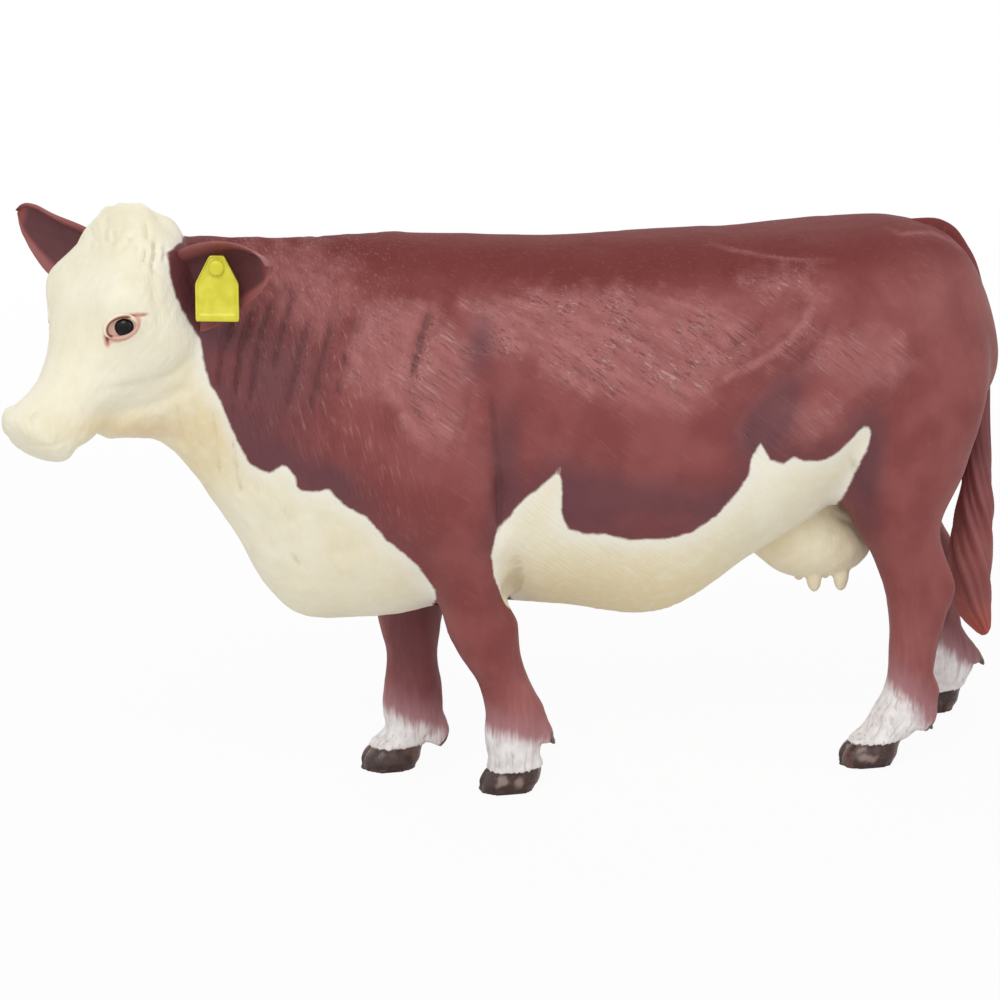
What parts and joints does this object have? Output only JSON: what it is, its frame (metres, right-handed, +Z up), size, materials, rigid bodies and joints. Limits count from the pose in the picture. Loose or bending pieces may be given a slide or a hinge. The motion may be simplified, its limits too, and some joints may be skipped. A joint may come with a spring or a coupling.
{
  "type": "toy cow figure",
  "caption": "Rigid moulded toy cow, polled, red with a white face and belly, standing on four hooves, with a hanging yellow ear tag.",
  "frame": {"origin": "on the ground, under the middle of the figure's bounding box", "axes": "+Z up, the head looks to -X, and -Y is the cow's left side with the tagged ear"},
  "size_m": [0.1386, 0.0372, 0.08],
  "materials": {
    "red_coat": "satin painted",
    "cream_coat": "satin painted",
    "yellow_plastic": "glossy moulded"
  },
  "bodies": {
    "cow": {"torso": "red_coat", "head": "cream_coat", "left_foreleg": "red_coat", "right_foreleg": "red_coat", "left_hindleg": "red_coat", "right_hindleg": "red_coat", "udder": "cream_coat", "tail": "red_coat", "left_ear": "red_coat", "right_ear": "red_coat", "tag_stud": "yellow_plastic"},
    "tag": {"ear_tag": "yellow_plastic"}
  },
  "joints": [
    {"name": "tag_swing", "type": "hinge", "parent": "cow", "child": "tag", "pos_m": [-0.0415, -0.01241, 0.07322], "axis": [-0.309, -0.9511, 0], "range_deg": [-15, 25]}
  ]
}
